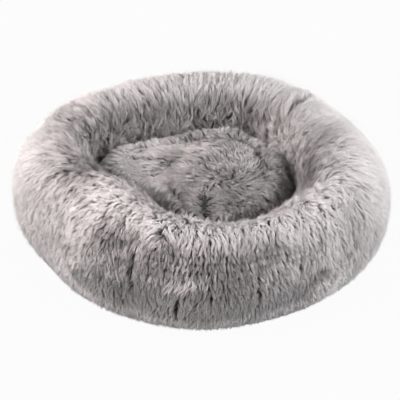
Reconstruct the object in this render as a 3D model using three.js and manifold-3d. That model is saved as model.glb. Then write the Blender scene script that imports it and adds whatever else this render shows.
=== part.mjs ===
import * as THREE from 'three';
import Module from 'manifold-3d';
import { mergeVertices } from 'three/addons/utils/BufferGeometryUtils.js';

// A round, fur-covered bed: a stuffed ring, a padded base with a zip on its underside,
// and a loose cushion in the nest. Millimetres, +Z up, the floor at z = 0.
// Fur is part of each plush panel's thickness: the outer face is where the pile ends.

// Overall
const bedDiameter = 600;
const bedHeight = 173;

// Fits
const seatGap = 0.4;
const cutOverrun = 2;

// Bolster ring
const bolsterWidth = 144;
const bolsterWaistHeight = 75;
const crestWaviness = 5.7;
const innerTuck = 6;
const coverLip = 0.8;
const coverFootWidth = 14;
const plushThickness = 26;
const linerThickness = 1.6;
const stuffingSlitWidth = 9;
const stuffingSlitLength = 130;
const roundness = 2.1;

// Gathers sewn into the bolster, where the cover folds inwards
const gatherDepth = 11;
const gatherHalfWidth = 32;

// Base
const baseInset = 43;
const basePanelThickness = 1.8;
const basePadThickness = 3;

// Cushion
const nestGap = 2.5;
const cushionWaistHeight = 52;
const cushionRimRise = 69;
const cushionCrownRise = 5;
const cushionValleyDepth = 5;
const cushionTuck = 10;
const cushionPlushThickness = 22;
const cushionUndersideThickness = 1.6;
const cushionDentDepth = 9;
const cushionDentWidth = 26;

// Zip in the base, under the bolster
const zipLength = 280;
const toothPitch = 3.1;
const toothThickness = 2.4;
const toothTipGap = 0.7;
const toothHeadWidth = 1.9;
const toothNeckWidth = 1.2;
const toothHeadLength = 0.8;
const toothReach = 1.5;
const beadWidth = 1.2;
const tapeThickness = 0.8;
const tapeWidth = 11;
const tapeSeam = 6;
const zipRunGap = 0.3;
const stopLength = 3;
const stopThickness = 2.8;

// Zip slider and its pull
const sliderLength = 11;
const wingThickness = 0.9;
const flangeWidth = 0.9;
const shoulderWidth = 1.1;
const postWidth = 0.8;
const postLength = 2.2;
const crownLength = 7;
const crownWidth = 1.6;
const crownThickness = 0.7;
const pullThickness = 0.8;
const pullArmWidth = 0.8;
const pullBodyWidth = 6;
const pullLength = 20;
const pullHoleDiameter = 2.6;
const slotClearance = 1.3;

// Counts and facets
const bolsterSteps = 48;
const cushionSteps = 40;
const pullHoleSteps = 12;

const turn = 2 * Math.PI;
const degree = turn / 360;
const zipFacetAngle = 3.2 * degree;

// Waves of the bolster round the bed: how often, how much and where each one peaks
const outlineWaveShares = [
  { order: 2, share: 0.0077, peak: -51.5 * degree },
  { order: 3, share: 0.0121, peak: 54 * degree },
  { order: 4, share: 0.0256, peak: -11 * degree },
];
const widthWaveShares = [
  { order: 2, share: 0.063, peak: 42 * degree },
  { order: 3, share: 0.1, peak: -14.5 * degree },
  { order: 4, share: 0.011, peak: 34 * degree },
];
const crestWaveShares = [
  { order: 1, share: 0.73, peak: 166.5 * degree },
  { order: 2, share: 0.34, peak: 43 * degree },
  { order: 3, share: 0.34, peak: -5 * degree },
];

// Gathers: azimuth, depth share, and the stretch of the section that each one runs over
const gathers = [
  { at: 37.5 * degree, share: 1.0, from: 70 * degree, to: 200 * degree },
  { at: 67.5 * degree, share: 0.6, from: 95 * degree, to: 200 * degree },
  { at: 97.5 * degree, share: 0.7, from: 100 * degree, to: 200 * degree },
  { at: 127.5 * degree, share: 0.6, from: 95 * degree, to: 200 * degree },
  { at: 165 * degree, share: 0.8, from: 20 * degree, to: 150 * degree },
  { at: 202.5 * degree, share: 0.5, from: 60 * degree, to: 150 * degree },
  { at: 247.5 * degree, share: 0.9, from: -60 * degree, to: 80 * degree },
  { at: 300 * degree, share: 0.5, from: -50 * degree, to: 60 * degree },
  { at: 330 * degree, share: 0.5, from: 90 * degree, to: 200 * degree },
];

// Section angles of the bolster's skin, from the outer waist over the crest to the inner waist
const upperAngles = [0, 20, 40, 58, 76, 93, 110, 127, 145, 162, 180].map((a) => a * degree);
const lowerAngles = [90, 60, 35, 15].map((a) => a * degree);
const liningAngles = [0, 40, 75, 110, 145, 180].map((a) => a * degree);
const innerDropShare = 0.5;

// The first tooth's place along the chain, in pitches
const firstToothShare = 0.75;

// Rings of the cushion's top, as shares of its radius
const rimRingShare = 0.86;
const valleyRingShare = 0.74;
const shoulderRingShare = 0.965;
const crownRingShares = [0.2, 0.4, 0.58];
const cushionLiningShares = [0.45, 0.8];

// Dents in the cushion's crown: from one place to another, in shares of its radius
const cushionDentShares = [
  { from: [-0.85, 0.14], to: [-0.42, -0.06], share: 0.8 },
  { from: [0.04, -0.55], to: [0.06, -0.9], share: 1.0 },
  { from: [0.35, 0.25], to: [0.1, 0.05], share: 0.4 },
];

// Levels and places that follow from the sizes above
const basePadLevel = basePanelThickness + seatGap;
const nestFloor = basePadLevel + basePadThickness;
const baseRadius = bedDiameter / 2 - baseInset;
const coverFootLevel = nestFloor + seatGap;
const tapeLevel = nestFloor + seatGap;
const chainLevel = tapeLevel + tapeThickness / 2;
const chainHalfThickness = toothThickness / 2;
const wingLevel = chainHalfThickness + zipRunGap;
const sliderTop = chainLevel + wingLevel + wingThickness;
const linerLevel = sliderTop + seatGap;
const linerInset = plushThickness + seatGap;
const fillInset = linerInset + linerThickness + seatGap;
const chainHalfWidth = toothTipGap + toothReach + beadWidth;
const innerFootEdge = bedDiameter / 2 - bolsterWidth + plushThickness;
const zipRadius = (innerFootEdge + baseRadius - coverFootWidth) / 2;
const tapeEdge = chainHalfWidth + zipRunGap;
const zipSweep = zipLength / zipRadius;
const zipStart = 90 * degree - zipSweep / 2;
const zipEnd = zipStart + zipSweep;

const signedPower = (value, power) => Math.sign(value) * Math.pow(Math.abs(value), power);
const mix = (a, b, share) => a + (b - a) * share;

function wave(azimuth, waves) {
  return waves.reduce((sum, w) => sum + w.share * Math.cos(w.order * (azimuth - w.peak)), 0);
}

function angleBetween(a, b) {
  const apart = (a - b) % turn;
  return Math.abs(apart > turn / 2 ? apart - turn : apart < -turn / 2 ? apart + turn : apart);
}

// A smooth hump: 1 at the middle, 0 from one half width away
function hump(distance, halfWidth) {
  if (distance >= halfWidth) return 0;
  return Math.pow(Math.cos((distance / halfWidth) * (Math.PI / 2)), 2);
}

// 1 inside a stretch of angles, falling to 0 at its ends
function stretch(angle, from, to) {
  const middle = (from + to) / 2;
  return Math.sqrt(hump(Math.abs(angle - middle), (to - from) / 2));
}

// The bolster's main sizes at one azimuth
function bolsterAt(azimuth) {
  const outerRadius = (bedDiameter / 2) * (1 + wave(azimuth, outlineWaveShares));
  const halfWidth = (bolsterWidth / 2) * (1 + wave(azimuth, widthWaveShares));
  return {
    azimuth,
    outerRadius,
    halfWidth,
    centreRadius: outerRadius - halfWidth,
    innerRadius: outerRadius - 2 * halfWidth,
    crest: bedHeight - crestWaviness * (1 - wave(azimuth, crestWaveShares)),
  };
}

function gatherInset(ring, sectionAngle) {
  return gathers.reduce((sum, gather) => {
    const away = angleBetween(ring.azimuth, gather.at) * ring.centreRadius;
    const share = gather.share * stretch(sectionAngle, gather.from, gather.to);
    return sum + gatherDepth * share * hump(away, gatherHalfWidth);
  }, 0);
}

// A point on the upper part of the section, moved inwards by an inset
function upperPoint(ring, angle, inset) {
  const power = 2 / roundness;
  const wide = ring.halfWidth - inset;
  const high = ring.crest - bolsterWaistHeight - inset;
  return [
    ring.centreRadius + wide * signedPower(Math.cos(angle), power),
    bolsterWaistHeight + high * signedPower(Math.sin(angle), power),
  ];
}

// The fur-side face of the cover: up the outside, over the crest and down into the nest
function coverSkin(ring) {
  const lipRadius = baseRadius + seatGap;
  const drop = bolsterWaistHeight - coverLip;
  const lower = lowerAngles.map((angle) => {
    const inset = gatherInset(ring, -angle);
    const reach = (ring.outerRadius - lipRadius) * Math.cos(angle);
    return [
      lipRadius + Math.max(reach - inset, 0),
      bolsterWaistHeight - drop * Math.sin(angle),
    ];
  });
  const upper = upperAngles.map((angle) => upperPoint(ring, angle, gatherInset(ring, angle)));
  const footRadius = ring.innerRadius + innerTuck;
  const waist = upper[upper.length - 1];
  const inner = [
    [mix(waist[0], footRadius, innerDropShare), mix(waist[1], coverFootLevel, innerDropShare)],
    [footRadius, coverFootLevel],
  ];
  return [...lower, ...upper, ...inner];
}

// A face inside the cover, moved in by an inset and cut off flat at a level
function liningFace(ring, inset, level) {
  const upper = liningAngles.map((angle) => upperPoint(ring, angle, inset));
  const outerFoot = [baseRadius - coverFootWidth - inset + plushThickness, level];
  const innerFoot = [ring.innerRadius + inset, level];
  return [outerFoot, ...upper, innerFoot];
}

const lowered = ([radius, z], drop) => [radius, z - drop];

function azimuths(steps) {
  return Array.from({ length: steps }, (_, i) => (i / steps) * turn);
}

const onAzimuth = (azimuth, [radius, z]) => [
  radius * Math.cos(azimuth),
  radius * Math.sin(azimuth),
  z,
];

function meshFrom(points, faces) {
  const geometry = new THREE.BufferGeometry();
  geometry.setAttribute('position', new THREE.Float32BufferAttribute(points.flat(), 3));
  geometry.setIndex(faces.flat());
  geometry.computeVertexNormals();
  return geometry;
}

// A closed loop of section points swept round the bed. The loop runs clockwise seen with the
// axis on the left, which turns the faces outwards.
function ringGeometry(steps, loopAt) {
  const loops = azimuths(steps).map((azimuth) => loopAt(azimuth).map((p) => onAzimuth(azimuth, p)));
  const rows = loops[0].length;
  const faces = [];
  for (let i = 0; i < steps; i++) {
    const next = (i + 1) % steps;
    for (let j = 0; j < rows; j++) {
      const up = (j + 1) % rows;
      const [a, b, c, d] = [i * rows + j, next * rows + j, next * rows + up, i * rows + up];
      faces.push([a, b, c], [a, c, d]);
    }
  }
  return meshFrom(loops.flat(), faces);
}

// A section whose first and last points lie on the axis, swept round it
function domeGeometry(steps, lineAt) {
  const lines = azimuths(steps).map((azimuth) => lineAt(azimuth).map((p) => onAzimuth(azimuth, p)));
  const rows = lines[0].length - 2;
  const points = [lines[0][0], lines[0][rows + 1], ...lines.flatMap((line) => line.slice(1, -1))];
  const at = (i, j) => 2 + (i % steps) * rows + j;
  const faces = [];
  for (let i = 0; i < steps; i++) {
    faces.push([0, at(i + 1, 0), at(i, 0)]);
    faces.push([1, at(i, rows - 1), at(i + 1, rows - 1)]);
    for (let j = 0; j < rows - 1; j++) {
      const [a, b, c, d] = [at(i, j), at(i + 1, j), at(i + 1, j + 1), at(i, j + 1)];
      faces.push([a, b, c], [a, c, d]);
    }
  }
  return meshFrom(points, faces);
}

const wasm = await Module();
wasm.setup();

function toSolid(geometry) {
  const bare = geometry.clone();
  bare.deleteAttribute('normal');
  bare.deleteAttribute('uv');
  const merged = mergeVertices(bare);
  return new wasm.Manifold(new wasm.Mesh({
    numProp: 3,
    vertProperties: new Float32Array(merged.attributes.position.array),
    triVerts: new Uint32Array(merged.index.array),
  }));
}

function fromSolid(solid) {
  const { vertProperties, triVerts } = solid.getMesh();
  const geometry = new THREE.BufferGeometry();
  geometry.setAttribute('position', new THREE.BufferAttribute(vertProperties, 3));
  geometry.setIndex(new THREE.BufferAttribute(triVerts, 1));
  geometry.computeVertexNormals();
  return geometry;
}

const joined = (...geometries) =>
  fromSolid(geometries.map(toSolid).reduce((whole, solid) => whole.add(solid)));
const cut = (body, tool) => fromSolid(toSolid(body).subtract(toSolid(tool)));

// A flat outline raised to a thickness from a level
function plate(outline, level, thickness, holes = []) {
  const shape = new THREE.Shape(outline.map(([x, y]) => new THREE.Vector2(x, y)));
  shape.holes = holes.map((h) => new THREE.Path(h.map(([x, y]) => new THREE.Vector2(x, y))));
  const geometry = new THREE.ExtrudeGeometry(shape, { depth: thickness, bevelEnabled: false });
  return geometry.translate(0, 0, level);
}

function box(from, to) {
  const size = to.map((value, axis) => value - from[axis]);
  const geometry = new THREE.BoxGeometry(...size);
  return geometry.translate(...from.map((value, axis) => value + size[axis] / 2));
}

const polar = (radius, azimuth) => [radius * Math.cos(azimuth), radius * Math.sin(azimuth)];

function arcPoints(radius, from, to, steps) {
  return Array.from({ length: steps + 1 }, (_, i) => polar(radius, mix(from, to, i / steps)));
}

// A band along the zip's arc, between two offsets from its centre line
function arcBand(nearOffset, farOffset, from, to) {
  const steps = Math.ceil((to - from) / zipFacetAngle);
  return [
    ...arcPoints(zipRadius + farOffset, from, to, steps),
    ...arcPoints(zipRadius + nearOffset, to, from, steps),
  ];
}

// Bolster: plush cover, lining bag and fibre
function bolsterCover() {
  const whole = ringGeometry(bolsterSteps, (azimuth) => {
    const lipTop = [baseRadius + seatGap, coverFootLevel];
    return [...coverSkin(bolsterAt(azimuth)), lipTop];
  });
  const inside = ringGeometry(bolsterSteps, (azimuth) => {
    const face = liningFace(bolsterAt(azimuth), plushThickness, coverFootLevel);
    const [outerFoot, innerFoot] = [face[0], face[face.length - 1]];
    return [lowered(outerFoot, cutOverrun), ...face, lowered(innerFoot, cutOverrun)];
  });
  return cut(whole, inside);
}

function liningTube(inset, level) {
  return ringGeometry(bolsterSteps, (azimuth) => liningFace(bolsterAt(azimuth), inset, level));
}

function bolsterLiner() {
  const inset = linerInset + linerThickness;
  const shell = cut(liningTube(linerInset, linerLevel), liningTube(inset, linerLevel + linerThickness));
  const slit = box(
    [-stuffingSlitLength / 2, -zipRadius - stuffingSlitWidth / 2, linerLevel - linerThickness],
    [stuffingSlitLength / 2, -zipRadius + stuffingSlitWidth / 2, linerLevel + 2 * linerThickness],
  );
  return cut(shell, slit);
}

function bolsterFill() {
  return liningTube(fillInset, linerLevel + linerThickness + seatGap);
}

// Base: grip cloth below, felt pad above, both with a slot for the zip
const sliderHalfWidth = chainHalfWidth + zipRunGap + flangeWidth + shoulderWidth;
const slotHalfWidth = sliderHalfWidth + slotClearance;
const slotReach = pullLength - sliderLength / 2 + slotClearance;

function baseDisc(radius, level, thickness) {
  const rim = arcPoints(radius, 0, turn, bolsterSteps).slice(1);
  const beyond = slotReach / zipRadius;
  return plate(rim, level, thickness, [
    arcBand(-slotHalfWidth, slotHalfWidth, zipStart - beyond, zipEnd + beyond),
  ]);
}

// Cushion: plush top, plain underside and fibre
const cushionFloor = nestFloor + seatGap;
const cushionSeamLevel = cushionFloor + cushionUndersideThickness + seatGap;
const cushionRimLevel = cushionWaistHeight + cushionRimRise;
const cushionCrownLevel = cushionRimLevel + cushionCrownRise;
const cushionValleyLevel = cushionRimLevel - cushionValleyDepth;

function cushionRadiusAt(azimuth) {
  return bolsterAt(azimuth).innerRadius - nestGap;
}

function cushionDent(x, y, radius) {
  return cushionDentShares.reduce((sum, dent) => {
    const [fromX, fromY] = dent.from.map((share) => share * radius);
    const [toX, toY] = dent.to.map((share) => share * radius);
    const [runX, runY] = [toX - fromX, toY - fromY];
    const along = ((x - fromX) * runX + (y - fromY) * runY) / (runX * runX + runY * runY);
    const nearest = Math.min(Math.max(along, 0), 1);
    const away = Math.hypot(x - fromX - nearest * runX, y - fromY - nearest * runY);
    return sum + cushionDentDepth * dent.share * hump(away, cushionDentWidth);
  }, 0);
}

function cushionTopPoint(azimuth, share, height) {
  const radius = cushionRadiusAt(azimuth);
  const [x, y] = polar(share * radius, azimuth);
  return [share * radius, height - cushionDent(x, y, radius)];
}

function cushionTopCover() {
  return domeGeometry(cushionSteps, (azimuth) => {
    const radius = cushionRadiusAt(azimuth);
    const crown = crownRingShares.map((share) => {
      const fall = Math.pow(share / valleyRingShare, 2);
      return cushionTopPoint(azimuth, share, mix(cushionCrownLevel, cushionValleyLevel, fall));
    });
    const shoulder = cushionWaistHeight + cushionRimRise * Math.SQRT1_2;
    const wall = radius - cushionPlushThickness;
    const lining = cushionLiningShares.map((share) => [wall * share, liningHeight(share)]);
    return [
      [0, cushionCrownLevel],
      ...crown,
      cushionTopPoint(azimuth, valleyRingShare, cushionValleyLevel),
      cushionTopPoint(azimuth, rimRingShare, cushionRimLevel),
      [radius * shoulderRingShare, shoulder],
      [radius, cushionWaistHeight],
      [radius - cushionTuck, cushionSeamLevel],
      [wall, cushionSeamLevel],
      [wall, cushionWaistHeight],
      ...lining.reverse(),
      [0, liningHeight(0)],
    ].reverse();
  });
}

// Underneath the cushion's plush: a plain dome
function liningHeight(share) {
  const top = cushionValleyLevel - cushionDentDepth - cushionPlushThickness;
  return mix(cushionWaistHeight, top, Math.sqrt(1 - share * share));
}

function cushionFill() {
  return domeGeometry(cushionSteps, (azimuth) => {
    const wall = cushionRadiusAt(azimuth) - cushionPlushThickness - seatGap;
    const dome = cushionLiningShares.map((share) => [wall * share, liningHeight(share) - seatGap]);
    return [
      [0, cushionSeamLevel],
      [wall, cushionSeamLevel],
      [wall, cushionWaistHeight - seatGap],
      ...dome.reverse(),
      [0, liningHeight(0) - seatGap],
    ];
  });
}

function cushionUnderside() {
  return domeGeometry(cushionSteps, (azimuth) => {
    const radius = cushionRadiusAt(azimuth) - cushionTuck;
    return [
      [0, cushionFloor],
      [radius, cushionFloor],
      [radius, cushionSeamLevel - seatGap],
      [0, cushionSeamLevel - seatGap],
    ];
  });
}

// Zip chain: side is 1 for the outer half and -1 for the inner half
function zipTape(side) {
  const tail = (slotReach + tapeSeam) / zipRadius;
  const offsets = [side * tapeEdge, side * (tapeEdge + tapeWidth)].sort((a, b) => a - b);
  return plate(arcBand(...offsets, zipStart - tail, zipEnd + tail), tapeLevel, tapeThickness);
}

// A comb: a bead along the tape's edge with a row of headed teeth, the two rows staggered
function zipTeeth(side) {
  const count = Math.floor(zipLength / toothPitch) - 1;
  const step = toothPitch / zipRadius;
  const first = zipStart + step * (side > 0 ? firstToothShare : firstToothShare + 0.5);
  const at = (offset, along, i) => polar(
    zipRadius + side * offset,
    first + i * step + along / zipRadius,
  );
  const root = toothTipGap + toothReach;
  const neck = toothTipGap + toothHeadLength;
  const toothed = Array.from({ length: count }, (_, i) => [
    at(root, -toothNeckWidth / 2, i),
    at(neck, -toothNeckWidth / 2, i),
    at(toothTipGap, -toothHeadWidth / 2, i),
    at(toothTipGap, toothHeadWidth / 2, i),
    at(neck, toothNeckWidth / 2, i),
    at(root, toothNeckWidth / 2, i),
  ]).flat();
  const back = Array.from({ length: count }, (_, i) => at(chainHalfWidth, 0, count - 1 - i));
  const outline = side > 0 ? [...back, ...toothed] : [...toothed, ...back];
  return plate(outline, chainLevel - chainHalfThickness, toothThickness);
}

// A stop clamped on the chain's edge between two offsets, reaching away from one end of the teeth
function zipStop(nearOffset, farOffset, end, outwards) {
  const [from, to] = [zipRunGap, zipRunGap + stopLength]
    .map((along) => end + (outwards * along) / zipRadius)
    .sort((a, b) => a - b);
  const outline = arcBand(nearOffset, farOffset, from, to);
  return plate(outline, chainLevel - stopThickness / 2, stopThickness);
}

function zipTopStop(side) {
  const offsets = [side * toothTipGap, side * chainHalfWidth].sort((a, b) => a - b);
  return zipStop(...offsets, zipStart, -1);
}

function zipBottomStop() {
  return zipStop(-chainHalfWidth, chainHalfWidth, zipEnd, 1);
}

// Slider, in its own frame: X points the way it closes the zip, Y out from the bed's axis, and
// z = 0 is the middle of the chain. Two wings and their flanges run on the chain, the post
// passes between the two rows of teeth, and the crown below holds the pull.
const crownHoleHeight = pullThickness + 2 * zipRunGap;
const crownLevel = -wingLevel - wingThickness - crownHoleHeight;
const sliderCentre = zipStart + (sliderLength / 2 + zipRunGap) / zipRadius;
const wingHalfWidth = tapeEdge + flangeWidth;

function wingOutline() {
  const half = sliderLength / 2;
  const shoulder = wingHalfWidth + shoulderWidth;
  const waist = half - shoulderWidth;
  const side = [
    [-half, wingHalfWidth - shoulderWidth],
    [-half + shoulderWidth, wingHalfWidth],
    [0, wingHalfWidth],
    [waist - shoulderWidth, shoulder],
    [waist, shoulder],
    [half, wingHalfWidth - shoulderWidth],
  ];
  return [...side.map(([x, y]) => [x, -y]), ...side.reverse()];
}

function zipSlider() {
  const half = sliderLength / 2;
  const flangeLevel = tapeThickness / 2 + zipRunGap;
  const parts = [
    plate(wingOutline(), -wingLevel - wingThickness, wingThickness),
    plate(wingOutline(), wingLevel, wingThickness),
    box(
      [half - shoulderWidth - postLength, -postWidth / 2, -wingLevel - wingThickness / 2],
      [half - shoulderWidth, postWidth / 2, wingLevel + wingThickness / 2],
    ),
  ];
  for (const side of [-1, 1]) {
    const [near, far] = [side * tapeEdge, side * wingHalfWidth].sort((a, b) => a - b);
    for (const level of [-wingLevel - wingThickness / 2, flangeLevel]) {
      const top = level < 0 ? -flangeLevel : wingLevel + wingThickness / 2;
      parts.push(box([-half + shoulderWidth, near, level], [0, far, top]));
    }
  }
  const crownHalf = crownLength / 2;
  const hole = crownHalf - crownThickness;
  const crown = cut(
    box(
      [-crownHalf, -crownWidth / 2, crownLevel - crownThickness],
      [crownHalf, crownWidth / 2, -wingLevel - wingThickness / 2],
    ),
    box(
      [-hole, -crownWidth, crownLevel],
      [hole, crownWidth, -wingLevel - wingThickness],
    ),
  );
  return joined(...parts, crown);
}

// Pull, about its own hinge line: a bar through the crown, two arms and a tapered tab with a hole
function zipPull() {
  const armInside = crownWidth / 2 + zipRunGap;
  const armOutside = armInside + pullArmWidth;
  const bar = pullThickness / 2;
  const neck = crownLength / 2 + zipRunGap + pullThickness;
  const tab = [
    [bar, armOutside], [-neck, armOutside], [-neck - pullArmWidth, pullBodyWidth / 2],
    [-pullLength + pullArmWidth, pullBodyWidth / 2], [-pullLength, pullBodyWidth / 4],
  ];
  const outline = [...tab, ...tab.map(([x, y]) => [x, -y]).reverse()];
  const window = [
    [-bar, -armInside], [-bar, armInside], [-neck, armInside], [-neck, -armInside],
  ];
  const holeCentre = -pullLength + pullBodyWidth / 2;
  const hole = arcPoints(pullHoleDiameter / 2, 0, turn, pullHoleSteps).slice(1)
    .map(([x, y]) => [holeCentre + x, y]);
  return plate(outline, -pullThickness / 2, pullThickness, [window, hole]);
}

const plush = { color: 0xb3acab, roughness: 1, metalness: 0 };
const plainCloth = { color: 0x8f8a89, roughness: 0.95, metalness: 0 };
const gripCloth = { color: 0x4a4849, roughness: 0.9, metalness: 0 };
const fibre = { color: 0xf0efec, roughness: 1, metalness: 0 };
const felt = { color: 0xd9d6d0, roughness: 1, metalness: 0 };
const tape = { color: 0x6d6a6a, roughness: 0.9, metalness: 0 };
const moulded = { color: 0x5d5a5b, roughness: 0.4, metalness: 0 };
const enamel = { color: 0x6a6768, roughness: 0.35, metalness: 0.6 };

const bed = new THREE.Group();

function add(name, geometry, finish, group = bed) {
  const mesh = new THREE.Mesh(geometry, new THREE.MeshStandardMaterial(finish));
  mesh.name = name;
  group.add(mesh);
}

add('bolster_cover', bolsterCover(), plush);
add('bolster_liner', bolsterLiner(), plainCloth);
add('bolster_fill', bolsterFill(), fibre);
add('base_panel', baseDisc(baseRadius, 0, basePanelThickness), gripCloth);
add('base_pad', baseDisc(baseRadius, basePadLevel, basePadThickness), felt);
add('cushion_top_cover', cushionTopCover(), plush);
add('cushion_underside', cushionUnderside(), plainCloth);
add('cushion_fill', cushionFill(), fibre);

for (const [name, side] of [['outer', 1], ['inner', -1]]) {
  add(`zip_tape_${name}`, zipTape(side), tape);
  add(`zip_teeth_${name}`, zipTeeth(side), moulded);
  add(`zip_top_stop_${name}`, zipTopStop(side), moulded);
}
add('zip_bottom_stop', zipBottomStop(), moulded);

const sliderPlace = new THREE.Group();
sliderPlace.position.set(...polar(zipRadius, sliderCentre), chainLevel);
sliderPlace.rotation.z = sliderCentre - 90 * degree;
bed.add(sliderPlace);
add('zip_slider', zipSlider(), enamel, sliderPlace);

const pullPlace = new THREE.Group();
pullPlace.position.z = crownLevel + crownHoleHeight / 2;
sliderPlace.add(pullPlace);
add('zip_pull', zipPull(), enamel, pullPlace);

export default bed;
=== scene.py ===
"""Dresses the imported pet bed: fur on the ring and cushion, cloths, zip finishes, studio, camera."""

import math

import bpy
import numpy as np
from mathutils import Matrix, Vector
from mathutils.kdtree import KDTree


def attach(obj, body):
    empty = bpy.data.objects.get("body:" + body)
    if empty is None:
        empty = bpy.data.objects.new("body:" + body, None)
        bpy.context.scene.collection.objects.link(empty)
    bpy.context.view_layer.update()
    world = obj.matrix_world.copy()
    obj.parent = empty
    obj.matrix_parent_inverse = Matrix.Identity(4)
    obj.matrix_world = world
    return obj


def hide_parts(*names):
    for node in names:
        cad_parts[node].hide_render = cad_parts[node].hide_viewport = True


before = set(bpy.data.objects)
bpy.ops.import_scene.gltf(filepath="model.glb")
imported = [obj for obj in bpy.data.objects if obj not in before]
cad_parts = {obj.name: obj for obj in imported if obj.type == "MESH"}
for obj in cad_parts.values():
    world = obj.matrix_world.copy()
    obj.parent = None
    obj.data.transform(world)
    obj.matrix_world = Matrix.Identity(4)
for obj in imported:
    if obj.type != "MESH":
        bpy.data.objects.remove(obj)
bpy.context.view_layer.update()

MM = 0.001
TURN = 2 * math.pi

# The bolster and cushion, in millimetres, as the solids have them
BED_DIAMETER = 600
BED_HEIGHT = 173
BOLSTER_WIDTH = 144
WAIST_HEIGHT = 75
CREST_WAVINESS = 5.7
INNER_TUCK = 6
COVER_LIP = 0.8
FOOT_WIDTH = 14
PLUSH_THICKNESS = 26
ROUNDNESS = 2.1
GATHER_DEPTH = 11
GATHER_HALF_WIDTH = 32
BASE_INSET = 43
SEAT_GAP = 0.4
NEST_GAP = 2.5
CUSHION_WAIST = 52
CUSHION_RIM_RISE = 69
CUSHION_CROWN_RISE = 5
CUSHION_VALLEY_DEPTH = 5
CUSHION_TUCK = 10
DENT_DEPTH = 9
DENT_WIDTH = 26

# Levels from the floor up, and radii of the base and of the ring's lip on it
BASE_PANEL_TOP = 1.8
BASE_PAD_LEVEL = BASE_PANEL_TOP + SEAT_GAP
NEST_FLOOR = BASE_PAD_LEVEL + 3
FOOT_LEVEL = NEST_FLOOR + SEAT_GAP
ARCH_LEVEL = 8.6
CUSHION_SEAM_LEVEL = 7.6
BASE_RADIUS = BED_DIAMETER / 2 - BASE_INSET
LIP_RADIUS = BASE_RADIUS + SEAT_GAP

# The zip's slot and tapes
ZIP_RADIUS = (BED_DIAMETER / 2 - BOLSTER_WIDTH + PLUSH_THICKNESS + BASE_RADIUS - FOOT_WIDTH) / 2
ZIP_LENGTH = 280
SLOT_HALF_WIDTH = 7
SLOT_REACH = 15.8
TAPE_EDGE = 3.7
TAPE_WIDTH = 11
TAPE_THICKNESS = 0.8
TAPE_SEAM = 6
SLOT_HALF_ANGLE = (ZIP_LENGTH / 2 + SLOT_REACH) / ZIP_RADIUS

# Waves round the bed: order, share, azimuth of the peak in degrees
OUTLINE_WAVES = ((2, 0.0077, -51.5), (3, 0.0121, 54), (4, 0.0256, -11))
WIDTH_WAVES = ((2, 0.063, 42), (3, 0.1, -14.5), (4, 0.011, 34))
CREST_WAVES = ((1, 0.73, 166.5), (2, 0.34, 43), (3, 0.34, -5))

# Gathers: azimuth, depth share, first and last section angle, in degrees
GATHERS = (
    (40.5, 1.0, 70, 200), (67.5, 0.6, 95, 200), (97.5, 0.7, 100, 200), (127.5, 0.6, 95, 200),
    (165, 0.8, 20, 150), (202.5, 0.5, 60, 150), (247.5, 0.9, -60, 80), (300, 0.5, -50, 60),
    (330, 0.5, 90, 200),
)

# Section angles in degrees, from the ring's outer lip over its crest to its foot in the nest
SECTION_SPAN = (-84, 264)

# Levels between which the cushion's side turns into its top
CUSHION_TOP_LEVELS = (55, 85)

# Dents of the cushion, in shares of its radius: from, to, depth share
DENTS = (
    ((-0.6, 0.5), (0.0, 0.7), 0.6),
    ((0.01, -0.55), (0.02, -0.92), 1.0),
    ((0.35, 0.25), (0.1, 0.05), 0.4),
)

# Partings of the ring's fur: azimuth and section angles in degrees, half width in mm, strength
PARTINGS = (
    (248.5, 0, 38, 9, 0.75), (41.5, 72, 156, 8, 1.0), (202.5, 66, 98, 9, 0.5),
    (165, 40, 100, 8, 0.3), (100, 130, 190, 4, 0.5), (67.5, 105, 180, 5, 0.4),
    (53, 125, 185, 4, 0.25), (127.5, 135, 185, 4, 0.3), (146, 135, 190, 4, 0.25),
    (84, 105, 140, 4, 0.25), (300, 10, 40, 6, 0.4), (285, -10, 26, 5, 0.4),
    (330, 110, 190, 6, 0.4), (256.5, 70, 88, 6, 0.5), (263, -25, 10, 5, 0.4),
    (272, 5, 30, 5, 0.3), (229, 5, 30, 6, 0.3), (188, 110, 170, 6, 0.4),
)

# Whorls, where the ring's fur turns away from a point: azimuth, section angle, half width in mm
WHORLS = ((257, 68, 17), (203, 82, 15), (312, 100, 12), (159, 118, 10))

# Partings of the cushion's fur, in shares of its radius: from, to, half width in mm, strength
CUSHION_PARTINGS = (
    ((0.01, -0.5), (0.03, -0.95), 24, 0.8),
    ((-0.62, 0.2), (-0.3, 0.1), 8, 0.5),
    ((0.42, 0.1), (0.3, -0.2), 8, 0.5),
    ((0.62, 0.3), (0.78, -0.1), 8, 0.6),
    ((-0.58, 0.44), (-0.1, 0.68), 10, 0.8),
    ((-0.1, 0.68), (0.42, 0.56), 10, 0.7),
    ((0.42, 0.56), (0.66, 0.28), 10, 0.5),
)

# The crevice beside the cushion: azimuth in degrees, half width in radians, depth in mm
CREVICE = (20, 0.85, 1.5)

# Painted light and shade on the ring's fur, for how the lamps fall there: darker on the right crest,
# lighter low at the front right. Azimuth in degrees, half width in radians, change, and the section
# angles in radians over which it sets in
RING_PAINTED_LIGHT = ((0, 0.65, -0.35, 0.7, 1.3), (308, 0.5, 0.25, 0, 0.4))

# Where the painted shade on the nest's wall is weaker: azimuth in degrees, half width in radians, share
OPEN_SIDE = (168, 0.6, 0.75)

# Where the ring's pile is longer or shorter: azimuth, half width in degrees, share
PILE_CHANGES = (
    (187, 13, 0.35), (209, 9, -0.3), (252, 12, -0.2), (290, 13, -0.25),
    (120, 12, 0.3), (145, 9, 0.25), (62, 10, 0.25), (43, 7, 0.25),
)

# Fur, in millimetres: how deep it is and how far it leans, its rows at the front, clumps, tufts,
# and last how far a tuft's own lie wanders, in radians
RING_PILE = 15
CUSHION_PILE = 10
RING_REACH = 22
CUSHION_REACH = 14
ROW_PITCH = 11.5
CLUMP_SPACING = 3.1
CLUMP_SPREAD = 2.1
RING_TUFT_SPACING = 4.9
CUSHION_TUFT_SPACING = 4.7
TUFT_TURN = 0.2

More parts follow.
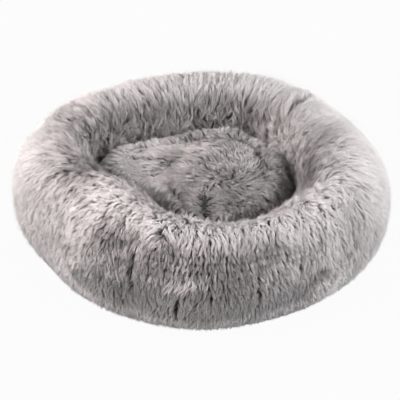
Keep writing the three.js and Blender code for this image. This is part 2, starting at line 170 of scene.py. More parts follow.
# Strands: widths, how deep they are rooted and how clear of the floor they stay, in millimetres,
# then counts and shares
RING_STRAND_WIDTH = 0.72
CUSHION_STRAND_WIDTH = 0.68
ROOT_DEPTH = 0.6
FLOOR_CLEARANCE = 0.7
CLUMP_STRANDS = 6
STRAY_SHARE = 0.12
STRAND_SIDES = 3
STRAND_STATIONS = (0, 0.45, 1)
STRAND_TRIANGLES = (len(STRAND_STATIONS) - 2) * STRAND_SIDES * 2 + STRAND_SIDES + 1
STRAND_CORNERS = (len(STRAND_STATIONS) - 1) * STRAND_SIDES + 1
FUR_PIECE_FACES = 195000

# Studio and camera: places in metres, elevation in degrees, lens and sensor in millimetres
FLOOR_SIZE = 8
FLOOR_GLOW = 0.96
WORLD_LIGHT = 0.13
CAMERA_ELEVATION = 31.57
CAMERA_DISTANCE = 1.966
CAMERA_LENS = 108.8
CAMERA_SENSOR = 36
CAMERA_TARGET = (-0.0052, 0, 0.09)
FRAME_PIXELS = 400
TARGET_PIXELS_UP = 19.1


def wave(azimuth, waves):
    return sum(share * np.cos(order * (azimuth - math.radians(peak))) for order, share, peak in waves)


def hump(distance, half_width):
    """1 at the middle, 0 from one half width away."""
    return np.cos(np.clip(np.abs(distance) / half_width, 0, 1) * math.pi / 2) ** 2


def signed_power(value, power):
    return np.sign(value) * np.abs(value) ** power


def ease(value, low, high):
    """0 below low, 1 above high, with a smooth rise between them."""
    share = np.clip((value - low) / (high - low), 0, 1)
    return share * share * (3 - 2 * share)


def turn_apart(azimuth, degrees):
    """The angle from a direction in degrees, from minus to plus half a turn."""
    return (azimuth - math.radians(degrees) + math.pi) % TURN - math.pi


def crevice(azimuth):
    """How far the cushion draws back from the ring, 0 to 1."""
    return hump(turn_apart(azimuth, CREVICE[0]), CREVICE[1])


def pile_change(azimuth):
    """How much longer, as a share, the ring's pile is at an azimuth."""
    return sum(share * np.exp(-((np.degrees(turn_apart(azimuth, at)) / wide) ** 2))
               for at, wide, share in PILE_CHANGES)


def soft_noise(points, wavelength, seed):
    """Smooth noise of unit spread over points in metres, made of plane waves."""
    rng = np.random.default_rng(seed)
    ways = rng.normal(size=(3, 12))
    ways *= TURN / wavelength * rng.uniform(0.6, 1.5, 12) / np.linalg.norm(ways, axis=0)
    phases = rng.uniform(0, TURN, 12)
    return np.sin(points @ ways + phases).sum(-1) / math.sqrt(6)


def whole_turn(count):
    return np.linspace(0, TURN, count, endpoint=False)


class Bolster:
    """The ring's fur-side face, over azimuth and share of the way from the outer lip to the foot."""

    facing = 1

    def __init__(self, pile):
        self.pile = pile
        angles = np.radians(np.linspace(*SECTION_SPAN, 700))
        radius, height = self.section(np.full(len(angles), 0.7), angles, plain=True)
        steps = np.hypot(np.diff(radius), np.diff(height))
        self.shares = np.concatenate([[0], np.cumsum(steps)]) / steps.sum()
        self.angles = angles
        self.length = steps.sum()

    def angle_at(self, share):
        return np.interp(share, self.shares, self.angles)

    def gather(self, azimuth, angle, radius):
        inset = 0
        for at, share, first, last in GATHERS:
            apart = turn_apart(azimuth, at) * radius
            middle, half = math.radians(first + last) / 2, math.radians(last - first) / 2
            along = np.sqrt(hump(angle - middle, half))
            inset = inset + GATHER_DEPTH * share * along * hump(apart, GATHER_HALF_WIDTH)
        return inset

    def section(self, azimuth, angle, plain=False):
        """Radius and height in millimetres at a section angle, the pile's depth inside the fur."""
        outline = 0 if plain else wave(azimuth, OUTLINE_WAVES)
        width = 0 if plain else wave(azimuth, WIDTH_WAVES)
        outer = BED_DIAMETER / 2 * (1 + outline)
        half = BOLSTER_WIDTH / 2 * (1 + width)
        crest = BED_HEIGHT - CREST_WAVINESS * (1 - wave(azimuth, CREST_WAVES))
        inset = 0 if plain else self.gather(azimuth, angle, outer - half)
        power = 2 / ROUNDNESS
        upper = np.clip(angle, 0, math.pi)
        wide = half - inset - self.pile
        radius = outer - half + wide * signed_power(np.cos(upper), power)
        high = crest - WAIST_HEIGHT - inset - self.pile
        height = WAIST_HEIGHT + high * signed_power(np.sin(upper), power)
        lower = np.clip(-angle, 0, math.pi / 2)
        reach = (outer - self.pile - LIP_RADIUS) * np.cos(lower)
        radius = np.where(angle < 0, LIP_RADIUS + np.maximum(reach - inset, 0), radius)
        drop = (WAIST_HEIGHT - COVER_LIP) * np.sin(lower)
        height = np.where(angle < 0, WAIST_HEIGHT - drop, height)
        down = np.clip((angle - math.pi) / (math.pi / 2), 0, 1)
        radius = radius + INNER_TUCK * down
        height = height + (FOOT_LEVEL - WAIST_HEIGHT) * down
        return radius, height

    def __call__(self, azimuth, share):
        radius, height = self.section(azimuth, self.angle_at(share))
        return np.stack([radius * np.cos(azimuth), radius * np.sin(azimuth), height], -1) * MM


class Cushion:
    """The cushion's fur-side face, over azimuth and share of the way from its crown to its foot."""

    facing = -1

    def __init__(self, pile):
        self.pile = pile
        rim = CUSHION_WAIST + CUSHION_RIM_RISE
        crown, valley = rim + CUSHION_CROWN_RISE, rim - CUSHION_VALLEY_DEPTH
        shoulder = CUSHION_WAIST + CUSHION_RIM_RISE * math.sqrt(0.5)
        valley_share, smoothing, mean_radius = 0.74, 20, 150
        inner = np.linspace(0, valley_share, 12)
        radii = np.concatenate([inner, [0.80, 0.86, 0.92, 0.965, 0.99, 1, 0.99, 0.95]])
        levels = np.concatenate([
            crown + (valley - crown) * (inner / valley_share) ** 2,
            [(valley + rim) / 2, rim, (3 * rim + shoulder) / 4],
            [shoulder, (shoulder + CUSHION_WAIST) / 2],
            [CUSHION_WAIST, CUSHION_WAIST / 2, CUSHION_SEAM_LEVEL],
        ])
        spot = np.linspace(0, len(radii) - 1, 400)
        kernel = np.hanning(2 * smoothing + 1)
        kernel = kernel / kernel.sum()
        fine = []
        for line in (radii, levels):
            line = np.interp(spot, np.arange(len(radii)), line)
            line = np.pad(line, smoothing, mode="reflect", reflect_type="odd")
            fine.append(np.convolve(line, kernel, "valid"))
        self.radii, self.levels = fine
        steps = np.hypot(np.diff(fine[0] * mean_radius), np.diff(fine[1]))
        self.shares = np.concatenate([[0], np.cumsum(steps)]) / steps.sum()
        self.length = steps.sum()

    def radius_at(self, azimuth):
        outer = BED_DIAMETER / 2 * (1 + wave(azimuth, OUTLINE_WAVES))
        width = BOLSTER_WIDTH * (1 + wave(azimuth, WIDTH_WAVES))
        return outer - width - NEST_GAP - CREVICE[2] * crevice(azimuth)

    def dent(self, x, y, radius):
        depth = 0
        for (from_x, from_y), (to_x, to_y), share in DENTS:
            run = np.array([to_x - from_x, to_y - from_y])
            along = (x - from_x * radius) * run[0] + (y - from_y * radius) * run[1]
            near = np.clip(along / (run @ run) / radius, 0, 1)
            away_x = x - (from_x + near * run[0]) * radius
            away = np.hypot(away_x, y - (from_y + near * run[1]) * radius)
            depth = depth + DENT_DEPTH * share * hump(away, DENT_WIDTH)
        return depth

    def __call__(self, azimuth, share):
        full = self.radius_at(azimuth)
        part = np.interp(share, self.shares, self.radii)
        level = np.interp(share, self.shares, self.levels)
        radius = part * (full - self.pile)
        x, y = radius * np.cos(azimuth), radius * np.sin(azimuth)
        top = ease(level, *CUSHION_TOP_LEVELS)
        height = level - top * (self.pile + self.dent(x, y, full))
        return np.stack([x, y, np.maximum(height, CUSHION_SEAM_LEVEL)], -1) * MM


def basis(surface, u, v):
    """Point, outward normal and the lengths of the tangents along u and v."""
    step_u, step_v = 1e-3, 2e-3
    point = surface(u, v)
    along_u = (surface(u + step_u, v) - surface(u - step_u, v)) / (2 * step_u)
    high, low = np.minimum(v + step_v, 1), np.maximum(v - step_v, 0)
    along_v = (surface(u, high) - surface(u, low)) / (high - low)[..., None]
    size_u = np.maximum(np.linalg.norm(along_u, axis=-1), 1e-6)
    size_v = np.maximum(np.linalg.norm(along_v, axis=-1), 1e-6)
    normal = np.cross(along_u, along_v) * surface.facing
    normal /= np.maximum(np.linalg.norm(normal, axis=-1, keepdims=True), 1e-12)
    return point, normal, size_u, size_v


def new_object(name, data):
    made = bpy.data.objects.new(name, data)
    bpy.context.scene.collection.objects.link(made)
    return made


def mesh_object(name, corners, faces, body, material):
    """A smooth mesh object from corner places and faces, given as arrays of equal rows."""
    corners = corners.reshape(-1, 3)
    mesh = bpy.data.meshes.new(name)
    blocks = [np.asarray(block) for block in faces]
    sizes = np.concatenate([np.full(len(block), block.shape[1]) for block in blocks])
    mesh.vertices.add(len(corners))
    mesh.vertices.foreach_set("co", np.ascontiguousarray(corners, dtype=np.float32).ravel())
    mesh.loops.add(int(sizes.sum()))
    numbers = np.concatenate([block.ravel() for block in blocks]).astype(np.int32)
    mesh.loops.foreach_set("vertex_index", numbers)
    mesh.polygons.add(len(sizes))
    mesh.polygons.foreach_set("loop_start", (np.cumsum(sizes) - sizes).astype(np.int32))
    mesh.update(calc_edges=True)
    mesh.shade_smooth()
    mesh.materials.append(material)
    piece = new_object(name, mesh)
    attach(piece, body)
    return piece


def grid_faces(rows, columns, closed=True):
    """Quads over a grid of corners numbered row by row, whose last row meets its first.

    The last column meets the first one too where the grid is closed.
    """
    i = np.arange(rows)[:, None]
    j = np.arange(columns if closed else columns - 1)[None, :]
    below, beside = (i + 1) % rows, (j + 1) % columns
    quads = np.stack(np.broadcast_arrays(
        i * columns + j, below * columns + j, below * columns + beside, i * columns + beside), -1)
    return quads.reshape(-1, 4)


def copied_faces(count, corners_each, *shapes):
    """The faces of a small form, for each of its copies; a shape is a list of equal faces."""
    start = (np.arange(count) * corners_each)[:, None, None]
    return [(start + np.array(shape)[None]).reshape(-1, len(shape[0])) for shape in shapes]


# Materials


class Nodes:
    """A short way to build a node material."""

    def __init__(self, name):
        self.material = bpy.data.materials.new(name)
        self.material.use_nodes = True
        self.tree = self.material.node_tree
        self.shader = self.tree.nodes["Principled BSDF"]

    def add(self, kind, **values):
        node = self.tree.nodes.new("ShaderNode" + kind)
        for key, value in values.items():
            if hasattr(node, key):
                setattr(node, key, value)
            else:
                node.inputs[key.replace("_", " ").title()].default_value = value
        return node

    def texture(self, kind, **values):
        """A texture laid out in the piece's own space."""
        node = self.add(kind, **values)
        self.link(self.add("TexCoord").outputs["Object"], node.inputs["Vector"])
        return node

    def link(self, start, end):
        self.tree.links.new(start, end)

    def ramp(self, source, stops):
        node = self.add("ValToRGB")
        elements = node.color_ramp.elements
        while len(elements) < len(stops):
            elements.new(0.5)
        for element, (place, colour) in zip(elements, stops):
            element.position = place
            element.color = (*colour, 1) if hasattr(colour, "__len__") else (colour,) * 3 + (1,)
        self.link(source, node.inputs[0])
        return node.outputs[0]

    def multiply(self, first, second):
        node = self.add("Mix", data_type="RGBA", blend_type="MULTIPLY")
        node.inputs["Factor"].default_value = 1
        self.link(first, node.inputs["A"])
        self.link(second, node.inputs["B"])
        return node.outputs["Result"]

    def colour(self, source):
        self.link(source, self.shader.inputs["Base Color"])

    def bump(self, source, strength, distance):
        node = self.add("Bump", strength=strength, distance=distance)
        self.link(source, node.inputs["Height"])
        self.link(node.outputs["Normal"], self.shader.inputs["Normal"])

    def finish(self, **sockets):
        for key, value in sockets.items():
            self.shader.inputs[key.replace("_", " ")].default_value = value
        return self.material


def fur_material(name, root, middle, tip):
    """Fur whose colour follows each strand's own map: root to tip along it, shade across it."""
    nodes = Nodes(name)
    uv = nodes.add("UVMap", uv_map="OFBake")
    parts = nodes.add("SeparateXYZ")
    nodes.link(uv.outputs[0], parts.inputs[0])
    # Darker towards the root: partly the fur's own two tones, partly painted shade deep in the pile
    along = nodes.ramp(parts.outputs["X"], [(0.05, root), (0.5, middle), (0.9, tip)])
    # Across the strand: random tone, and the painted light and shade set for each clump
    shade = nodes.ramp(parts.outputs["Y"], [
        (0, (0.32, 0.31, 0.31)), (0.3, (0.61, 0.59, 0.59)), (0.6, (0.84, 0.83, 0.83)), (1, 1),
    ])
    nodes.colour(nodes.multiply(along, shade))
    return nodes.finish(Roughness=0.72, Sheen_Weight=0.5, Sheen_Roughness=0.5,
                        Specular_IOR_Level=0.25)


def weave_material(name, dark, light, threads, roughness=0.85):
    """Plain weave: two crossed sets of threads, so many to the metre, with fine speckle."""
    nodes = Nodes(name)
    wave_scale = threads * 0.314
    along, across = (
        nodes.texture("TexWave", bands_direction=direction, scale=wave_scale,
                      distortion=0.6, detail_scale=2).outputs["Color"]
        for direction in ("X", "Y"))
    both = nodes.multiply(along, across)
    speckle = nodes.texture("TexNoise", scale=threads * 0.6, detail=4)
    cloth = nodes.ramp(both, [(0, dark), (0.6, light)])
    fleck = nodes.ramp(speckle.outputs["Fac"], [(0.3, 0.82), (0.7, 1)])
    nodes.colour(nodes.multiply(cloth, fleck))
    nodes.bump(both, 0.5, 0.0003)
    return nodes.finish(Roughness=roughness, Sheen_Weight=0.15)


def backing_material(name, dark, light, scale):
    """The knitted backing that the pile is rooted in."""
    nodes = Nodes(name)
    knit = nodes.texture("TexVoronoi", scale=scale).outputs["Distance"]
    nodes.colour(nodes.ramp(knit, [(0.1, dark), (0.8, light)]))
    nodes.bump(knit, 0.6, 0.0006)
    return nodes.finish(Roughness=0.95, Sheen_Weight=0.2)


def fibre_material(name, dark, light, scale):
    """Felt or loose fibre: stretched noise with a soft nap."""
    nodes = Nodes(name)
    nap = nodes.texture("TexNoise", scale=scale, detail=8, roughness=0.7, distortion=1.5).outputs["Fac"]
    nodes.colour(nodes.ramp(nap, [(0.3, dark), (0.65, light)]))
    nodes.bump(nap, 0.5, 0.0008)
    return nodes.finish(Roughness=1, Sheen_Weight=0.2)


def hard_material(name, dark, light, scale, roughness, metallic):
    """Moulded plastic or enamel: faint mottling and fine surface grain."""
    nodes = Nodes(name)
    mottle = nodes.texture("TexNoise", scale=scale, detail=6).outputs["Fac"]
    nodes.colour(nodes.ramp(mottle, [(0.35, dark), (0.7, light)]))
    nodes.bump(nodes.texture("TexNoise", scale=scale * 8, detail=3).outputs["Fac"], 0.15, 0.0001)
    return nodes.finish(Roughness=roughness, Metallic=metallic)


# Fur


def rows_of_roots(surface, spacing, first, last, rng):
    """Clump roots in loose rows: azimuths and shares along the section."""
    azimuths, shares = [], []
    rows = int(surface.length * (last - first) / spacing)
    for row in range(rows):
        share = first + (last - first) * (row + 0.5) / rows
        ring = surface(np.linspace(0, TURN, 90), np.full(90, share))
        around = np.linalg.norm(np.diff(ring, axis=0), axis=1).sum() / MM
        count = max(int(around / spacing), 3)
        at = (np.arange(count) + rng.uniform(0, 1) + rng.uniform(-0.38, 0.38, count)) / count
        azimuths.append(at * TURN)
        shares.append(share + rng.uniform(-0.34, 0.34, count) * (last - first) / rows)
    return np.concatenate(azimuths), np.clip(np.concatenate(shares), first, last)


def toward_tufts(surface, u, v, spacing, rng):
    """How far each clump is from the middle of its tuft, in millimetres, and which tuft it is."""
    tuft_u, tuft_v = rows_of_roots(surface, spacing, 0, 1, rng)
    tree = KDTree(len(tuft_u))
    for index, place in enumerate(surface(tuft_u, tuft_v)):
        tree.insert(place, index)
    tree.balance()
    nearest = np.array([tree.find(place)[1] for place in surface(u, v)])
    size_u, size_v = basis(surface, u, v)[2:]
    apart = turn_apart(tuft_u[nearest] - u, 0)
    return apart * size_u / MM, (tuft_v[nearest] - v) * size_v / MM, nearest


def strand_paths(surface, clumps, rng):
    """Places and normals of every strand's stations."""
    count = len(clumps["u"])
    wide = {key: value[:, None, None] for key, value in clumps.items()}

    def each(low, high):
        return rng.uniform(low, high, (count, CLUMP_STRANDS, 1))

    def disc(radius):
        turn, out = each(0, TURN), np.sqrt(each(0, 1))
        return radius * out * np.cos(turn), radius * out * np.sin(turn)

    size_u, size_v = basis(surface, clumps["u"], clumps["v"])[2:]
    root_u, root_v = disc(wide["spread"])
    tip_u, tip_v = disc(wide["tip_spread"])
    stray = each(0, 1) < STRAY_SHARE
    height = wide["height"] * each(0.85, 1.06) * np.where(stray, 1.22, 1)
    reach = wide["reach"] * each(0.78, 1.14) * np.where(stray, 0.8, 1)
    way = wide["way"] + rng.normal(0, 0.07, (count, CLUMP_STRANDS, 1))
    at = np.asarray(STRAND_STATIONS)[None, None, :]
    drift = at ** 1.35 * reach + at ** 1.5 * wide["step"]
    bend = wide["bend"] * np.sin(at * math.pi) * reach + at ** 1.5 * wide["across"]
    off_u = np.sin(way) * drift + np.cos(way) * bend
    off_v = -np.cos(way) * drift + np.sin(way) * bend
    off_u = off_u + root_u * (1 - at) + (root_u * 0.25 + tip_u) * at
    off_v = off_v + root_v * (1 - at) + (root_v * 0.25 + tip_v) * at
    u = wide["u"] + off_u * MM / size_u[:, None, None]
    v = np.clip(wide["v"] + off_v * MM / size_v[:, None, None], 0.002, 0.998)
    rise = (1 - (1 - at) ** wide["rise"]) * height - ROOT_DEPTH
    point, normal = basis(surface, u, v)[:2]
    place = point + normal * (rise * MM)[..., None]
    place[..., 2] = np.maximum(place[..., 2], FLOOR_CLEARANCE * MM)
    return place, normal


def strand_mesh(place, normal, widths, rng):
    """Corners and faces of low three-sided strands, ridge outwards, that taper to a point."""
    count, sides = len(place), STRAND_SIDES
    along = np.gradient(place, axis=1)
    along /= np.maximum(np.linalg.norm(along, axis=-1, keepdims=True), 1e-9)
    side = np.cross(along, normal)
    side /= np.maximum(np.linalg.norm(side, axis=-1, keepdims=True), 1e-9)
    up = np.cross(along, side)
    phase = math.pi / 2 + rng.normal(0, 0.35, (count, 1, 1, 1))
    turn = phase + whole_turn(sides)[None, None, :, None]
    ring = np.cos(turn) * side[:, :-1, None, :] + 0.55 * np.sin(turn) * up[:, :-1, None, :]
    body = place[:, :-1, None, :] + ring * widths[:, :, None, None] / 2
    body = body.reshape(count, -1, 3)
    corners = np.concatenate([body, place[:, -1:, :]], axis=1)
    tip = STRAND_CORNERS - 1
    quads = []
    for low in range(0, tip - sides, sides):
        for k in range(sides):
            a, b = low + k, low + (k + 1) % sides
            quads.append((a, b, b + sides, a + sides))
    caps = [(tip - sides + k, tip - sides + (k + 1) % sides, tip) for k in range(sides)]
    caps.append((0, 2, 1))
    return corners, copied_faces(count, STRAND_CORNERS, quads, caps)


def add_fur_map(piece, shade):
    """The OFBake map: u runs root to tip, v is the strand's shade, with a little width."""
    mesh = piece.data
    corner = np.empty(len(mesh.loops), dtype=np.int32)
    mesh.loops.foreach_get("vertex_index", corner)
    strand, within = corner // STRAND_CORNERS, corner % STRAND_CORNERS
    u = np.asarray(STRAND_STATIONS)[within // STRAND_SIDES]
    v = 0.01 + 0.97 * shade[strand] + 0.0045 * (within % STRAND_SIDES)
    places = np.stack([0.01 + 0.98 * u, v], -1).astype(np.float32)
    mesh.uv_layers.new(name="OFBake").data.foreach_set("uv", places.ravel())


def grow_fur(name, surface, clumps, body, material, width, seed):
    """Fur over a surface, split by azimuth into pieces of a limited number of faces."""
    order = np.argsort(clumps["u"])
    pieces = max(1, math.ceil(len(order) * CLUMP_STRANDS * STRAND_TRIANGLES / FUR_PIECE_FACES))
    for index, part in enumerate(np.array_split(order, pieces)):
        rng = np.random.default_rng(seed + index)
        some = {key: value[part] for key, value in clumps.items()}
        place, normal = strand_paths(surface, some, rng)
        count = len(part) * CLUMP_STRANDS
        place, normal = place.reshape(count, -1, 3), normal.reshape(count, -1, 3)
        thick = width * MM * rng.uniform(0.8, 1.2, (count, 1)) * np.array([[0.9, 1]])
        corners, faces = strand_mesh(place, normal, thick, rng)
        piece = mesh_object(f"{name}_{index + 1:02d}", corners, faces, body, material)
        shade = np.repeat(some["shade"], CLUMP_STRANDS) + rng.normal(0, 0.07, count)
        add_fur_map(piece, np.clip(shade, 0, 1))


def comb_ring(surface, u, v, angle, swirl):
    """Which way the ring's fur lies, and how near each place is to a parting or whorl, 0 to 1."""
    at = surface(u, v) / MM
    radius = np.hypot(at[:, 0], at[:, 1])
    comb_u, comb_v, near = np.sin(swirl), -np.cos(swirl), 0
    for azimuth, first, last, width, strength in PARTINGS:
        first, last, fade = math.radians(first), math.radians(last), math.radians(10)
        wander = 0.25 * width * soft_noise(at, 30, 17)
        apart = turn_apart(u, azimuth) * radius + wander
        along = ease(angle, first - fade, first) * ease(-angle, -last - fade, -last)
        comb_u = comb_u + 1.2 * strength * np.sign(apart) * np.exp(-((apart / width) ** 2)) * along
        near = near + strength * np.exp(-((apart / width / 0.3) ** 2)) * along
    for azimuth, middle, width in WHORLS:
        apart_u = turn_apart(u, azimuth) * radius
        centre_v = np.interp(math.radians(middle), surface.angles, surface.shares)
        apart_v = (v - centre_v) * surface.length
        away = np.hypot(apart_u, apart_v) + 1
        pull = 1.2 * np.exp(-((away / width) ** 2))
        comb_u = comb_u + pull * apart_u / away
        comb_v = comb_v + pull * apart_v / away
        near = near + 0.9 * np.exp(-((away / width / 0.25) ** 2))
    return np.arctan2(comb_u, -comb_v), np.clip(near, 0, 1)


def comb_cushion(x, y, radius, way_x, way_y):
    """The cushion's fur turned away from its partings, and how near each place is to one."""
    near = 0
    for start, end, width, strength in CUSHION_PARTINGS:
        start, end = (np.array(point)[:, None] * radius for point in (start, end))
        run = end - start
        share = ((x - start[0]) * run[0] + (y - start[1]) * run[1]) / (run ** 2).sum(0)
        share = np.clip(share, 0, 1)
        apart_x, apart_y = x - start[0] - share * run[0], y - start[1] - share * run[1]
        away = np.hypot(apart_x, apart_y) + 0.5
        pull = 1.5 * strength * np.exp(-((away / width) ** 2))
        way_x, way_y = way_x + pull * apart_x / away, way_y + pull * apart_y / away
        near = near + strength * np.exp(-((away / min(0.28 * width, 2.8)) ** 2))
    return way_x, way_y, np.clip(near, 0, 1)


def fur_clumps(surface, tuft_spacing, first, last, rng):
    """Clump places, and where each stands in its tuft."""
    u, v = rows_of_roots(surface, CLUMP_SPACING, first, last, rng)
    return u, v, *toward_tufts(surface, u, v, tuft_spacing, rng)


def lay_fur(u, v, tufts, way, height, reach, rise, shade, gather, unruly, tuft_spacing, rng):
    """The full description of each clump.

    gather is how strongly tufts hold together and unruly how much each goes its own way, 0 to 1.
    """
    count = len(u)
    pull_u, pull_v, tuft = tufts
    own = np.clip(rng.normal(0, 1, (3, tuft.max() + 1)), -2, 2)[:, tuft]
    own_way, own_height, own_reach = own * unruly
    way = way + rng.normal(0, 0.07, count) + TUFT_TURN * own_way
    across = pull_u * np.cos(way) + pull_v * np.sin(way)
    along = pull_u * np.sin(way) - pull_v * np.cos(way)
    edge = np.clip(np.hypot(across, along) / (tuft_spacing * 0.6), 0, 1) ** 2
    # Painted shade at tuft edges, between tufts, and painted light on taller tufts; then random tone
    shade = shade - 0.16 * gather * edge + 0.09 * own_height + rng.normal(0, 0.06, count)
    height = height * (1 - 0.3 * gather * edge + 0.07 * own_height)
    return {
        "u": u,
        "v": v,
        "way": way,
        "height": height * rng.uniform(0.93, 1.06, count),
        "reach": reach * (1 + 0.14 * own_reach) * rng.uniform(0.88, 1.12, count),
        "rise": rise,
        "bend": rng.normal(0, 0.06, count),
        "across": across * gather,
        "step": along * gather * 0.3,
        "spread": CLUMP_SPREAD * rng.uniform(0.8, 1.2, count),
        "tip_spread": CLUMP_SPREAD * rng.uniform(0.2, 0.5, count),
        "shade": np.clip(shade, 0.02, 0.98),
    }


def ring_clumps(surface, seed):
    """Where the ring's clumps stand and how each one lies."""
    rng = np.random.default_rng(seed)
    u, v, *tufts = fur_clumps(surface, RING_TUFT_SPACING, 0.02, 0.985, rng)
    at = surface(u, v)
    angle = surface.angle_at(v)
    facing = -np.sin(u)
    drawn_back = crevice(u)

    # How much each place belongs to a part of the ring, 0 to 1
    under = ease(-angle, -0.3, 0.1)
    band = under * ease(facing + 0.06 * soft_noise(at, 0.05, 28), 0.72, 0.98)
    inside = ease(angle, 1.9, 2.9)
    front = ease(facing, 0.1, 0.8) * ease(-angle, -2.1, -1.2)
    middle = ease(facing + 0.08 * soft_noise(at, 0.05, 29), 0.7, 1)
    middle = middle * ease(-angle, -1.3, -0.85) * ease(angle, 0, 0.15)
    wall = ease(angle, 1.5, 2.3)
    calm = ease(np.cos(u), 0.1, 0.7) * ease(-facing, -0.6, 0)
    # How much of the painted shade on the nest's wall is kept
    open_side = 1 - OPEN_SIDE[2] * hump(turn_apart(u, OPEN_SIDE[0]), OPEN_SIDE[1])
    hem = ease(angle, 2.3, 2.8)
    edge = np.exp(-(((angle - 1.9) / 0.35) ** 2)) * ease(facing, -0.5, 0.1)
    loose = np.maximum(front, 0.7 * wall)

    # Which way the fur lies
    swirl = (0.3 - 0.1 * wall - 0.15 * under) * soft_noise(at, 0.11, 11)
    fine_swirl = (0.08 + 0.12 * loose - 0.1 * wall) * (1 - 0.6 * under)
    swirl = swirl + fine_swirl * soft_noise(at, 0.03, 12)
    swirl = swirl + (0.5 * hem + 0.5 * edge) * soft_noise(at, 0.02, 19)
    way, near = comb_ring(surface, u, v, angle, swirl * (1 - 0.7 * middle))

    # How far it stands and reaches
    lift = 0.5 * soft_noise(at, 0.07, 13) + 0.5 * soft_noise(at, 0.025, 14)
    row = (v * surface.length / ROW_PITCH + 0.25 * soft_noise(at, 0.1, 18)) % 1
    gap = middle * ease(row, 0.5, 0.8) * (0.55 + 0.6 * soft_noise(at, 0.04, 21))
    height = RING_PILE * (1 + (0.04 + 0.06 * loose) * (1 - 0.7 * under) * lift - 0.22 * gap)
    height = height * (1 - 0.45 * near) * (1 - 0.5 * ease(-angle, 0.2, 1.3))
    ragged = 0.1 * edge + 0.35 * inside * drawn_back
    height = height * (1 + ragged * soft_noise(at, 0.018, 20)) * (1 + pile_change(u))
    reach = (RING_REACH - 6 * front) * (1 - 0.14 * lift) * (1 - 0.25 * under)
    reach = reach * (1 - 0.1 * inside) * (1 - 0.3 * edge)
    reach = reach + 0.8 * middle * (3 + row * ROW_PITCH - reach)

    # How light it is: random tone, and painted light and shade for how the lamps fall on each part
    fleck = (0.09 + 0.07 * loose) * (1 - 0.6 * band) * (1 - 0.5 * calm)
    tone = 0.08 * soft_noise(at, 0.09, 15) + fleck * soft_noise(at, 0.02, 16)
    # Painted shade on the front below its crest, more in its middle and in the gaps between its rows
    shade = 0.97 - 0.33 * front * ease(-angle, -1.5, -1.15) - 0.45 * middle - 0.3 * gap
    # Painted shade on the right crest and painted light low at the front right
    for azimuth, wide, change, low, high in RING_PAINTED_LIGHT:
        shade = shade + change * hump(turn_apart(u, azimuth), wide) * ease(angle, low, high)
    # Painted shade on the nest's wall and in partings and whorls, painted light on the front rim's edge
    shade = shade - 0.35 * ease(angle, 1.1, 1.9) * open_side - 0.5 * near + 0.2 * edge
    # Painted shade at the wall's foot, turned to painted light at the crevice
    shade = shade - 0.6 * ease(angle, 2, 2.6) * (1 - 1.3 * drawn_back) * open_side
    # Painted shade on the front's underside, left off along the very bottom
    shade = shade - band * (1.15 - 1.15 * ease(-angle, 0.3, 0.6))
    # Painted shade on the left crest, where the stronger left lamp falls
    shade = shade - 0.45 * ease(-np.cos(u), 0.6, 0.95) * ease(angle, 1, 1.5)

    gather = np.clip(0.45 + 0.45 * loose + 0.2 * edge - 0.5 * calm, 0, 0.95) * (1 - 0.75 * band)
    unruly = (1 - 0.4 * middle) * (1 - 0.5 * band) * (1 - 0.7 * calm)
    unruly = unruly + 1.2 * hem + 1.5 * inside * drawn_back
    return lay_fur(u, v, tufts, way, height, reach, 1.9 - 0.6 * middle, shade + tone, gather,
                   unruly, RING_TUFT_SPACING, rng)


def cushion_clumps(surface, seed):
    """Where the cushion's clumps stand: combed outwards on its rim and sideways on its crown."""
    rng = np.random.default_rng(seed)
    u, v, *tufts = fur_clumps(surface, CUSHION_TUFT_SPACING, 0.01, 0.97, rng)
    at = surface(u, v)
    x, y = at[:, 0] / MM, at[:, 1] / MM
    cos, sin, drawn_back = np.cos(u), np.sin(u), crevice(u)
    full = surface.radius_at(u)
    part = np.hypot(x, y) / full
    rim = ease(part, 0.68, 0.76)

    # Which way the fur lies
    swirl = 0.45 * soft_noise(at, 0.09, 21) + 0.25 * soft_noise(at, 0.03, 22)
    outwards = np.maximum(rim, 0.9 * ease(-y / full, 0.05, 0.4))
    heading = 3.3 * ease(-x, -110, 0) - 0.1 + swirl
    inward = 0.5 * np.exp(-(((part - 0.62) / 0.06) ** 2)) * ease(y / full, 0, 0.3)
    sideways = 1.2 * drawn_back * ease(part, 0.8, 0.9)
    sideways = sideways + 0.45 * rim * ease(y / full, 0.45, 0.7)
    way_x = (1 - outwards) * np.cos(heading) + (outwards - inward) * cos - sideways * sin
    way_y = (1 - outwards) * np.sin(heading) + (outwards - inward) * sin + sideways * cos
    way_x, way_y, near = comb_cushion(x, y, full, way_x, way_y)
    way = np.arctan2(cos * way_y - sin * way_x, -(cos * way_x + sin * way_y)) + 0.3 * swirl * rim

    # How far it stands and reaches, and how light it is, with painted light and shade
    lift = 0.6 * soft_noise(at, 0.05, 23) + 0.4 * soft_noise(at, 0.02, 24)
    upright = np.exp(-(((x - 50) / 50) ** 2) - ((y - 2) / 45) ** 2)
    reach = (CUSHION_REACH + 7 * outwards * (1 - rim)) * (1 - 0.12 * lift) * (1 - 0.8 * upright)
    height = CUSHION_PILE * (1 + 0.14 * lift) * (1 - 0.4 * near)
    height = height * (1 + 0.7 * drawn_back * rim * soft_noise(at, 0.018, 27))
    # Painted light on its left part and at the crevice, painted shade in its partings; its low base
    # shade is partly its own colour and partly painted shade in the nest
    shade = 0.25 + 0.9 * ease(-x, 30, 110) - 0.35 * near + 0.15 * drawn_back * rim
    shade = shade + 0.1 * soft_noise(at, 0.07, 25) + 0.1 * soft_noise(at, 0.02, 26)
    # Painted shade on its outer side, in the gap beside the ring's wall
    shade = shade - 0.15 * ease(part, 0.95, 1)

    gather, rise = 0.4 + 0.4 * rim, np.full(len(u), 1.9)
    unruly = 1 + (0.7 + 1.2 * drawn_back) * rim
    return lay_fur(u, v, tufts, way, height, reach, rise, shade, gather, unruly,
                   CUSHION_TUFT_SPACING, rng)


# Cloth pieces


